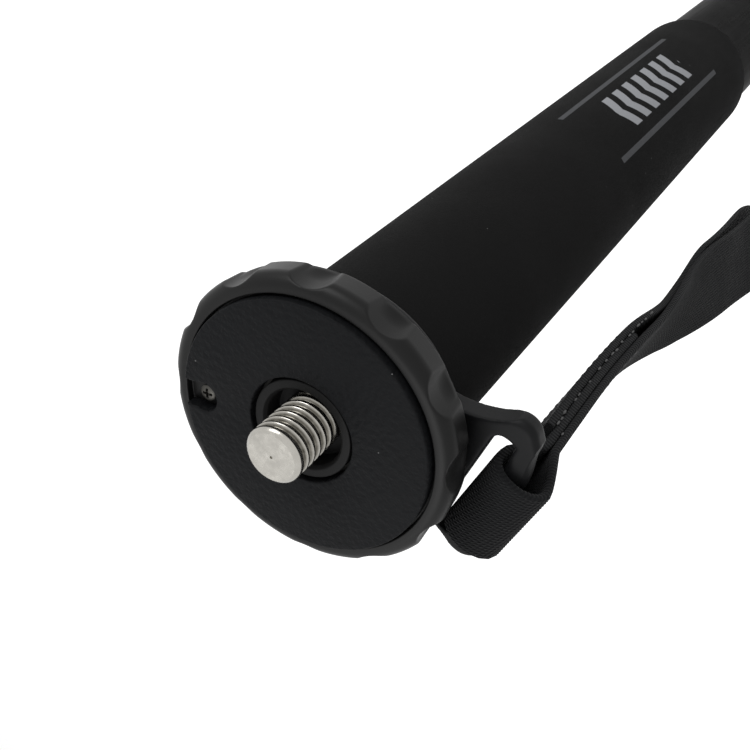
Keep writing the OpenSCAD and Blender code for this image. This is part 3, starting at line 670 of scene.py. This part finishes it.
def build_print():
    """Masks of two rails and of the slanted bars between them, wrapped on the grip."""
    tree, given, out = new_group("Grip print", {"Radius": GRIP_R * MM}, ["Rails", "Bars"])
    place = add_node(tree, "ShaderNodeSeparateXYZ", {"Vector": surface_point(tree)}).outputs
    off = maths(tree, "SUBTRACT", maths(tree, "ARCTAN2", place["Y"], place["X"]), PRINT_AZIMUTH)
    side = maths(tree, "MULTIPLY", off, given["Radius"])
    away = maths(tree, "ABSOLUTE", side)
    along = maths(tree, "SUBTRACT", place["Z"], PRINT_Z * MM)
    rail = maths(tree, "SUBTRACT", away, PRINT_W / 2 * MM)
    rails = maths(tree, "MULTIPLY", within(tree, rail, RAIL_W / 2), within(tree, along, PRINT_L / 2))
    slant = maths(tree, "MULTIPLY_ADD", away, STRIPE_SLANT, along)
    part = maths(tree, "FRACT", maths(tree, "DIVIDE", slant, STRIPE_PITCH * MM))
    field = maths(tree, "MULTIPLY", within(tree, side, STRIPES_W / 2), within(tree, along, STRIPES_L / 2))
    bars = maths(tree, "MULTIPLY", maths(tree, "LESS_THAN", part, STRIPE_SHARE), field)
    wire(tree, out, {"Rails": rails, "Bars": bars})
    return tree


def foam_finish():
    """Black foam with a grey and a pale print."""
    material = moulded("foam", (0.0055, 0.0072), (0.85, 0.95), 0.08, 2200.0, 0.14, 0.7, dust=0.25)
    tree, shader, black = finish_parts(material)
    masks = place_group(tree, build_print())
    railed = mixed(tree, masks["Rails"], black, grey(RAIL_TONE, -0.04))
    wire(tree, shader, {"Base Color": mixed(tree, masks["Bars"], railed, grey(STRIPE_TONE, -0.04))})
    return material


FOAM = foam_finish()
print("print", PRINT_L, "by", PRINT_W, "mm")

# %% Foam sleeve
GRIP_SIDES, GRIP_STEP, GRIP_ARC = 160, 2.5, 10
SKIN_DEPTH, SKIN_RIM, DENTS, MOST_LOBES, DENT_L, DENT_GROWTH = 0.06, 0.5, 12, 5, 9, 4


def build_grip():
    corners = [(GRIP_BORE, GRIP_TOP, 0), (GRIP_R, GRIP_TOP, GRIP_CUT_ROUND),
               (GRIP_R, GRIP_BOTTOM, GRIP_ROUND), (GRIP_BORE, GRIP_BOTTOM, 0)]
    profile = divided(rounded(corners, GRIP_ARC), GRIP_STEP)
    r, z = profile[:, :1], profile[:, 1:]
    angles = full_turn(GRIP_SIDES)
    dent = np.zeros((len(profile), GRIP_SIDES))
    for k, (a, b) in enumerate(chance.uniform(0, 2 * math.pi, (DENTS, 2))):
        dent += np.sin((k % MOST_LOBES + 1) * angles[None] + a) * np.sin(z / (DENT_L + DENT_GROWTH * k) + b)
    pressed = SKIN_DEPTH * (0.5 + dent / DENTS).clip(0, 1) * (r > GRIP_R - SKIN_RIM)
    rows = swept(r * (1 - pressed / GRIP_R), z, angles)
    return grid_piece("foam_sleeve", rows, wrap_along=True)


grip = build_grip()
dress(grip, "head", FOAM, "foam", "foam_grip")

# %% [markdown]
# ## Camera screw
# The screw has a rolled 3/8 inch thread, whose crests catch the light one by one, and a turned tip with the
# dent of the lathe's centre. A screw modifier would sweep a tooth, but it leaves ragged ends; here the radius
# of each point is worked out from its height and its angle, so the thread fades in at the tip by itself.

# %% Threaded screw
SCREW_R, SCREW_PITCH, SCREW_TIP, SCREW_SEAT = 4.7625, 1.5875, 7.7, -4.5
THREAD_DEPTH, CREST, ROOT, THREAD_START, THREAD_FADE = 0.58, 0.16, 0.14, 6.7, 0.8
TAIL_R, TAIL_PITCH, TAIL_END, TAIL_DEPTH, TAIL_FADE, TAIL_POINT = 3.175, 1.27, -13.5, 0.6, 1.2, 0.4
TIP_BEVEL, TIP_BEVEL_H, TIP_BEVEL_STEPS, TIP_CURVE = 0.7, 0.75, 7, 0.7
TIP_FACE = ((3.6, 0), (2.4, 0.01), (1.2, 0.02), (0.24, 0.03), (0.19, 0.3), (0.05, 0.6))
SCREW_SIDES, SCREW_STEP, TAIL_STEP = 144, 0.07, 0.12


def thread_radius(z, angles, r, pitch, depth):
    """Radius of a rounded sixty-degree thread at a height and at every angle."""
    turn = (z / pitch - angles / (2 * math.pi)) % 1.0
    tooth = smooth((np.abs(turn - 0.5) * 2 - ROOT) / (1 - CREST - ROOT))
    return r - depth * (1 - tooth)


def build_screw():
    angles = full_turn(SCREW_SIDES)
    rows = []
    for z in np.arange(TAIL_END, SCREW_SEAT, TAIL_STEP):
        fade = float(eased(z, TAIL_END, TAIL_FADE))
        r = thread_radius(z, angles, TAIL_R, TAIL_PITCH, TAIL_DEPTH * fade) - TAIL_POINT * (1 - fade)
        rows.append((r, z))
    for z in np.arange(SCREW_SEAT, SCREW_TIP - TIP_BEVEL_H, SCREW_STEP):
        fade = float(smooth((THREAD_START - z) / THREAD_FADE))
        rows.append((thread_radius(z, angles, SCREW_R, SCREW_PITCH, THREAD_DEPTH * fade), z))
    for u in np.linspace(0, 1, TIP_BEVEL_STEPS):
        rows.append((SCREW_R - TIP_BEVEL * u, SCREW_TIP - TIP_BEVEL_H * (1 - u ** TIP_CURVE)))
    rows.extend((r, SCREW_TIP - drop) for r, drop in TIP_FACE)
    return grid_piece("threaded_screw", [swept(r, z, angles) for r, z in rows], capped=True)


dress(build_screw(), "head", NICKEL_WITH_GROOVE_SHADE, "steel", "camera_stud")

# %% [markdown]
# ## Finger wheel
# Twelve finger scallops run back from the wheel's rounded shoulder. They could be cut with booleans, but
# those leave knife edges. Each point of the turned profile is instead held back to the scallop's surface by a
# smooth minimum, which rounds the edges as a mould does.

# %% Scalloped wheel
WHEEL_R, RIM_R, LIP_Z, WHEEL_BOTTOM, SHOULDER = 25.1, 24.6, -1.1, -7.2, 2.2
TRAY_R, TRAY_Z, LIP_W = 22.0, -2.4, 0.4
WHEEL_BORE_R, BUSH_SEAT_R, BUSH_SEAT_Z = 11.0, 12.5, -5.95
HOLLOW_Z, HOLLOW_IN, HOLLOW_OUT = -5.0, (13.95, 14.55), (21.1, 21.7)
SCALLOPS, SCALLOP_R, SCALLOP_DEPTH, SCALLOP_TURN = 12, 6.5, 1.4, math.radians(20)
SCALLOP_C = WHEEL_R - SCALLOP_DEPTH + SCALLOP_R
SCALLOP_LOW, SCALLOP_FILLET, SCALLOP_RIM_R = WHEEL_BOTTOM + 0.6, 2.4, 24.25
EDGE_BLEND, SCALLOP_SIDES, WHEEL_ARC, WHEEL_STEP = 0.22, 60, 16, 0.25


def scallop_limit(angles, z):
    """Radius of the scalloped surface at every angle and height, which runs out above the lower rim."""
    spacing = 2 * math.pi / SCALLOPS
    off = (angles - SCALLOP_TURN + spacing / 2) % spacing - spacing / 2
    reach = SCALLOP_R ** 2 - (SCALLOP_C * np.sin(off)) ** 2
    limit = SCALLOP_C * np.cos(off) - np.sqrt(np.clip(reach, 0, None))
    low = np.clip((SCALLOP_LOW + SCALLOP_FILLET - z) / SCALLOP_FILLET, 0, 1)
    return limit + np.clip(SCALLOP_RIM_R - limit, 0, None) * low ** 2


def build_wheel():
    corners = [(WHEEL_BORE_R, TRAY_Z, 0.2), (TRAY_R, TRAY_Z, 0.2), (TRAY_R, LIP_Z, 0.25),
               (WHEEL_R, LIP_Z, SHOULDER), (RIM_R, WHEEL_BOTTOM, 0.35), (HOLLOW_OUT[1], WHEEL_BOTTOM, 0.3),
               (HOLLOW_OUT[0], HOLLOW_Z, 0.4), (HOLLOW_IN[1], HOLLOW_Z, 0.4),
               (HOLLOW_IN[0], WHEEL_BOTTOM, 0.2), (BUSH_SEAT_R, WHEEL_BOTTOM, 0.1),
               (BUSH_SEAT_R, BUSH_SEAT_Z, 0.1), (WHEEL_BORE_R, BUSH_SEAT_Z, 0.1)]
    profile = divided(rounded(corners, WHEEL_ARC), WHEEL_STEP)
    r, z = profile[:, :1], profile[:, 1:]
    angles = full_turn(SCALLOPS * SCALLOP_SIDES)
    limit = scallop_limit(angles, z)
    near = np.clip(EDGE_BLEND - np.abs(r - limit), 0, None) / EDGE_BLEND
    held = np.minimum(r, limit) - near ** 2 * EDGE_BLEND / 4
    rows = swept(np.where(r > TRAY_R + LIP_W, held, r), z, angles)
    return grid_piece("finger_wheel", rows, wrap_along=True)


dress(build_wheel(), "wheel", WHEEL, "wheel", "lock_wheel")

# %% [markdown]
# ## Platform pad
# The pad is a disc stamped from leather-grained sheet, with a hole for the screw and a notch at its edge. A
# boolean cut would leave long thin faces for the bevel. Its outline is drawn as two loops, filled, raised and
# bevelled.

# %% Pad with its notch
PAD_R, PAD_BOTTOM, PAD_HOLE_R, PAD_EDGE, PAD_EDGE_STEPS = 21.6, -2.4, 9.0, 0.3, 3
NOTCH_AT, NOTCH_TURN, NOTCH_R, NOTCH_W = 18.1, math.radians(201), 2.6, 4.6
RIM_POINTS, NOTCH_POINTS, HOLE_POINTS = 300, 40, 160
CORNER_ANGLE, SAME_HEIGHT = 1.0, 1e-6


def notched_outline():
    """Outline of the pad with the notch's round inner end, in the notch's own direction."""
    half = NOTCH_W / 2
    mouth, lip = math.asin(half / PAD_R), math.asin(half / NOTCH_R)
    rim = np.linspace(mouth, 2 * math.pi - mouth, RIM_POINTS)
    notch = np.linspace(2 * math.pi - lip, lip, NOTCH_POINTS)
    return ([(PAD_R * math.cos(a), PAD_R * math.sin(a)) for a in rim]
            + [(NOTCH_AT + NOTCH_R * math.cos(a), NOTCH_R * math.sin(a)) for a in notch])


def stamped_plate(name, loops, low, high, edge, turn):
    """Plate from closed loops of points, turned about the pole, with its edges bevelled."""
    work = bmesh.new()
    for loop in loops:
        verts = [work.verts.new([v * MM for v in (*turned(x, y, turn), high)]) for x, y in loop]
        for a, b in zip(verts, verts[1:] + verts[:1]):
            work.edges.new((a, b))
    bmesh.ops.triangle_fill(work, edges=work.edges, use_beauty=True, use_dissolve=False)
    raised = bmesh.ops.extrude_face_region(work, geom=work.faces[:])
    moved = [v for v in raised["geom"] if isinstance(v, bmesh.types.BMVert)]
    bmesh.ops.translate(work, verts=moved, vec=(0, 0, (low - high) * MM))
    bmesh.ops.recalc_face_normals(work, faces=work.faces)
    rim = [e for e in work.edges if len(e.link_faces) == 2 and e.calc_face_angle() > CORNER_ANGLE
           and abs(e.verts[0].co.z - e.verts[1].co.z) < SAME_HEIGHT]
    bmesh.ops.bevel(work, geom=rim, offset=edge * MM, segments=PAD_EDGE_STEPS, profile=0.5, affect="EDGES")
    mesh = bpy.data.meshes.new(name)
    work.to_mesh(mesh)
    work.free()
    return add_piece(name, mesh)


hole = [(PAD_HOLE_R * math.cos(a), PAD_HOLE_R * math.sin(a)) for a in full_turn(HOLE_POINTS)]
pad = stamped_plate("grained_pad", [notched_outline(), hole], PAD_BOTTOM, 0.0, PAD_EDGE, NOTCH_TURN)
dress(pad, "wheel", PAD, "pad", "platform_pad")

# %% [markdown]
# ## Hub
# The hub is turned: its boss shows as a ring round the screw, a little below the pad, with a black well
# inside it. Its profile is drawn again with rounded corners, which a bevel on the solid would also give. The
# spigot, which is hidden in the tube, is measured from the solid.

# %% Turned hub
BOSS_R, BOSS_TOP, BOSS_WELL_R, WELL_LIP, WELL_LIP_H = 8.5, -0.5, 6.6, 0.5, 0.7
FLANGE_R, FLANGE_TOP, FLANGE_BOTTOM = 21.0, -7.6, -10.6
HUB_TAIL_R, HUB_BORE_R, BORE_TOP, HUB_SIDES = 3.225, 9.0, -14.0, 160


def build_hub():
    solid = np.array([v.co for v in frame["nodes"]["head_hub"].data.vertices]) / MM
    spigot_low = solid[:, 2].min()
    spigot_r = np.hypot(*solid[solid[:, 2] < BORE_TOP - 1, :2].T).max()
    corners = [(HUB_TAIL_R, SCREW_SEAT, 0), (BOSS_WELL_R, SCREW_SEAT, 0.3),
               (BOSS_WELL_R, BOSS_TOP - WELL_LIP_H, 0.5), (BOSS_WELL_R + WELL_LIP, BOSS_TOP, 0.3),
               (BOSS_R, BOSS_TOP, 0.25), (BOSS_R, FLANGE_TOP, 0.2), (FLANGE_R, FLANGE_TOP, 0.4),
               (FLANGE_R, FLANGE_BOTTOM, 0), (spigot_r, FLANGE_BOTTOM, 0), (spigot_r, spigot_low, 0.3),
               (HUB_BORE_R, spigot_low, 0), (HUB_BORE_R, BORE_TOP, 0.5), (HUB_TAIL_R, BORE_TOP, 0)]
    return grid_piece("turned_hub", turned_rows(rounded(corners), full_turn(HUB_SIDES)), wrap_along=True)


dress(build_hub(), "head", HUB, "head", "head_hub")

# %% [markdown]
# ## Screw in the notch
# A small pan-head screw with a cross recess ties the pad to the wheel. It lies in shadow, so its steel is
# darkened as painted shade, and that and a cut cross matter more than its thread. The cross is pressed into a
# polar grid of points, which is simpler than cutting.

# %% Notch screw
NOTCH_HEAD_R, NOTCH_HEAD_TOP, NOTCH_HEAD_SEAT, NOTCH_SHANK_R = 1.4, -1.1, -2.4, 0.9
CROSS_L, CROSS_W, CROSS_DEPTH, CROSS_SOFT, CROSS_RUN_OUT = 0.95, 0.2, 0.5, 0.08, 0.15
HEAD_DOME, HEAD_CENTRE_R, HEAD_RINGS, HEAD_SIDES = 0.3, 0.03, 36, 96


def build_notch_screw():
    lowest = min(v.co.z for v in frame["nodes"]["pad_screw"].data.vertices) / MM
    angles = full_turn(HEAD_SIDES)
    rows = [(NOTCH_SHANK_R, lowest), (NOTCH_SHANK_R, NOTCH_HEAD_SEAT), (NOTCH_HEAD_R, NOTCH_HEAD_SEAT)]
    for r in np.linspace(NOTCH_HEAD_R, HEAD_CENTRE_R, HEAD_RINGS):
        across = np.minimum(np.abs(r * np.cos(angles)), np.abs(r * np.sin(angles)))
        cut = smooth((CROSS_W - across) / CROSS_SOFT + 0.5) * smooth((CROSS_L - r) / CROSS_RUN_OUT)
        rows.append((r, NOTCH_HEAD_TOP - HEAD_DOME * (r / NOTCH_HEAD_R) ** 4 - CROSS_DEPTH * cut))
    points = np.array([swept(r, z, angles) for r, z in rows])
    points[..., 0], points[..., 1] = turned(points[..., 0] + NOTCH_AT, points[..., 1], NOTCH_TURN)
    return grid_piece("notch_screw", points, capped=True)


dress(build_notch_screw(), "wheel", SHADED_SCREW_STEEL, "steel", "pad_screw")

# %% [markdown]
# ## Strap lug
# The strap lug is moulded, so every edge is soft, and its bar runs into the corner of the ear without a step.
# A bevel would need clean edges all round the slot. Remeshing a copy of the solid into small voxels, with a
# filling at that corner, and smoothing it rounds everything alike, at the cost of more faces. The outer side
# of the bar is then drawn in, so that it ends level with the ear.

# %% Filling at the ear's corner
EAR_CORNER, EAR_R, EAR_BEVEL, EAR_ARC, EAR_POINTS = (27.1, 13.5), 3.4, 0.8, math.radians(75), 16
LUG_HALF_T, BAR_CUTS, BAR_CORNERS = 2.0, (8.2, 12.2), ((2.2, 1.1), (1.1, 2.0))


def ear_corner_points():
    """Points whose hull runs from the bar into the rounded front corner of the ear."""
    out = []
    for x, z in BAR_CORNERS:
        for y in BAR_CUTS:
            for side in (x, -x):
                far, front = turned(side, y, BAR_TURN)
                out.extend([(BAR_X + far, front, BAR_Z + z), (BAR_X + far, front, BAR_Z - z)])
    for r, z in ((EAR_R - EAR_BEVEL, LUG_HALF_T), (EAR_R, LUG_HALF_T - EAR_BEVEL)):
        for a in np.linspace(-EAR_ARC, EAR_ARC, EAR_POINTS):
            x, y = EAR_CORNER[0] + r * math.cos(a), EAR_CORNER[1] + r * math.sin(a)
            out.extend([(x, y, BAR_Z + z), (x, y, BAR_Z - z)])
    return out


print("filling of", len(ear_corner_points()), "points")

# %% Softened lug
LUG_VOXEL, LUG_PASSES, LUG_RELAX, SAME_SPOT = 0.25, 12, 0.5, 1e-6
TAPER, TAPER_START, TAPER_RUN = 0.85, 6.0, 7.0


def softened(node, name, filled):
    """Copy of a solid, with the hull of some points joined to it, whose edges are rounded by remeshing."""
    mesh = frame["nodes"][node].data.copy()
    work = bmesh.new()
    work.from_mesh(mesh)
    bmesh.ops.remove_doubles(work, verts=work.verts, dist=SAME_SPOT)
    hull = bmesh.ops.convex_hull(work, input=[work.verts.new(Vector(p) * MM) for p in filled])
    inside = [v for v in hull["geom_interior"] if isinstance(v, bmesh.types.BMVert)]
    bmesh.ops.delete(work, geom=inside, context="VERTS")
    work.to_mesh(mesh)
    work.free()
    rough = bpy.data.objects.new(name, mesh)
    bpy.context.scene.collection.objects.link(rough)
    remesh = rough.modifiers.new("voxels", "REMESH")
    remesh.mode = "VOXEL"
    remesh.voxel_size = LUG_VOXEL * MM
    relax = rough.modifiers.new("soft edges", "SMOOTH")
    relax.factor = LUG_RELAX
    relax.iterations = LUG_PASSES
    ready = bpy.data.meshes.new_from_object(rough.evaluated_get(bpy.context.evaluated_depsgraph_get()))
    bpy.data.objects.remove(rough)
    return add_piece(name, ready, math.pi)


def taper_bar(piece):
    """Draws the outer side of the bar in, so that it ends level with the edge of the ear."""
    points = np.empty(len(piece.data.vertices) * 3)
    piece.data.vertices.foreach_get("co", points)
    points = points.reshape(-1, 3)
    across, along = turned(points[:, 0] / MM - BAR_X, points[:, 1] / MM, -BAR_TURN)
    drawn = TAPER * eased(along, TAPER_START, TAPER_RUN) * across.clip(0) * MM
    points[:, 0] -= drawn * math.cos(BAR_TURN)
    points[:, 1] -= drawn * math.sin(BAR_TURN)
    piece.data.vertices.foreach_set("co", points.ravel())
    piece.data.update()


lug = softened("strap_lug", "moulded_lug", ear_corner_points())
taper_bar(lug)
dress(lug, "head", LUG, "lug", "strap_lug")

# %% [markdown]
# ## Finishes of the remaining solids
# The tubes, the locks, the bush and the foot have the right shape already, so they only get their finish. A
# list by node would do, but the record names a slot for each node, and a finish for each slot is shorter.

# %% Finish by slot
FINISH_OF_SLOT = {"steel": STEEL, "pad": PAD, "wheel": WHEEL, "bush": OXIDE, "head": HUB, "lug": LUG,
                  "webbing": WEBBING, "foam": FOAM, "tube": TUBE, "bushing": GUIDE, "lock": LOCK,
                  "foot": RUBBER}
slot_of_node = {s["node"]: s["material_slot"] for s in frame["record"]["subparts"]}
for name, solid in frame["nodes"].items():
    solid.data.materials.clear()
    solid.data.materials.append(FINISH_OF_SLOT[slot_of_node[name]])
print("finished solids", len(frame["nodes"]))

# %% [markdown]
# ## Studio
# A pale floor and soft light from above and from one side. The head stays where it is when the sections slide
# out, so the floor lies where the foot stands with the pole drawn out in full, and never hides a section. The
# background is white for the camera and for reflections, and dimmer where it lights the object, so that the
# black pieces keep their tone.

# %% Floor, lights and world
SECTION_TRAVEL, SLIDING_SECTIONS = 0.35, 3
FLOOR_Z = cad_box[0][2] - SLIDING_SECTIONS * SECTION_TRAVEL
FLOOR_HALF, FLOOR_TONE, FLOOR_GLOW = 4.0, 0.8, 0.75
SHOWN_WHITE, LIGHT_WORLD = 1.0, 0.55
SOFTBOX_AIM = Vector((0, 0, -0.1))
SOFTBOXES = (("side softbox", (-0.65, 0.75, 0.35), 0.6, 5.0), ("top softbox", (0.2, -0.5, 0.9), 0.8, 4.0))


def seen_directly(tree):
    """One for rays from the camera, off shiny things and through glass, zero for light on dull things."""
    path = tree.nodes.new("ShaderNodeLightPath").outputs
    some = maths(tree, "MAXIMUM", path["Is Camera Ray"], path["Is Glossy Ray"])
    return maths(tree, "MAXIMUM", some, path["Is Transmission Ray"])


def build_floor():
    mesh = bpy.data.meshes.new("floor")
    corners = [(x * FLOOR_HALF, y * FLOOR_HALF, FLOOR_Z) for x, y in ((-1, -1), (1, -1), (1, 1), (-1, 1))]
    mesh.from_pydata(corners, [], [(0, 1, 2, 3)])
    floor = bpy.data.objects.new("floor", mesh)
    bpy.context.scene.collection.objects.link(floor)
    material, tree, shader = new_material("pale floor")
    wire(tree, shader, {"Base Color": grey(FLOOR_TONE), "Roughness": 0.9, "Emission Color": grey(1.0),
                        "Emission Strength": maths(tree, "MULTIPLY", seen_directly(tree), FLOOR_GLOW)})
    mesh.materials.append(material)


def add_softbox(name, spot, size, power):
    lamp = bpy.data.lights.new(name, "AREA")
    lamp.shape = "DISK"
    lamp.size = size
    lamp.energy = power
    box = bpy.data.objects.new(name, lamp)
    box.location = spot
    box.rotation_mode = "QUATERNION"
    box.rotation_quaternion = (SOFTBOX_AIM - Vector(spot)).to_track_quat("-Z", "Y")
    bpy.context.scene.collection.objects.link(box)


build_floor()
for softbox in SOFTBOXES:
    add_softbox(*softbox)
world = bpy.data.worlds.new("studio")
bpy.context.scene.world = world
world.use_nodes = True
room = world.node_tree
glow = ranged(room, seen_directly(room), LIGHT_WORLD, SHOWN_WHITE)
wire(room, room.nodes["Background"], {"Color": grey(1.0), "Strength": glow})
bpy.context.scene.view_settings.view_transform = "Standard"
print("studio with", len(SOFTBOXES), "softboxes, floor at", round(FLOOR_Z, 3), "m")
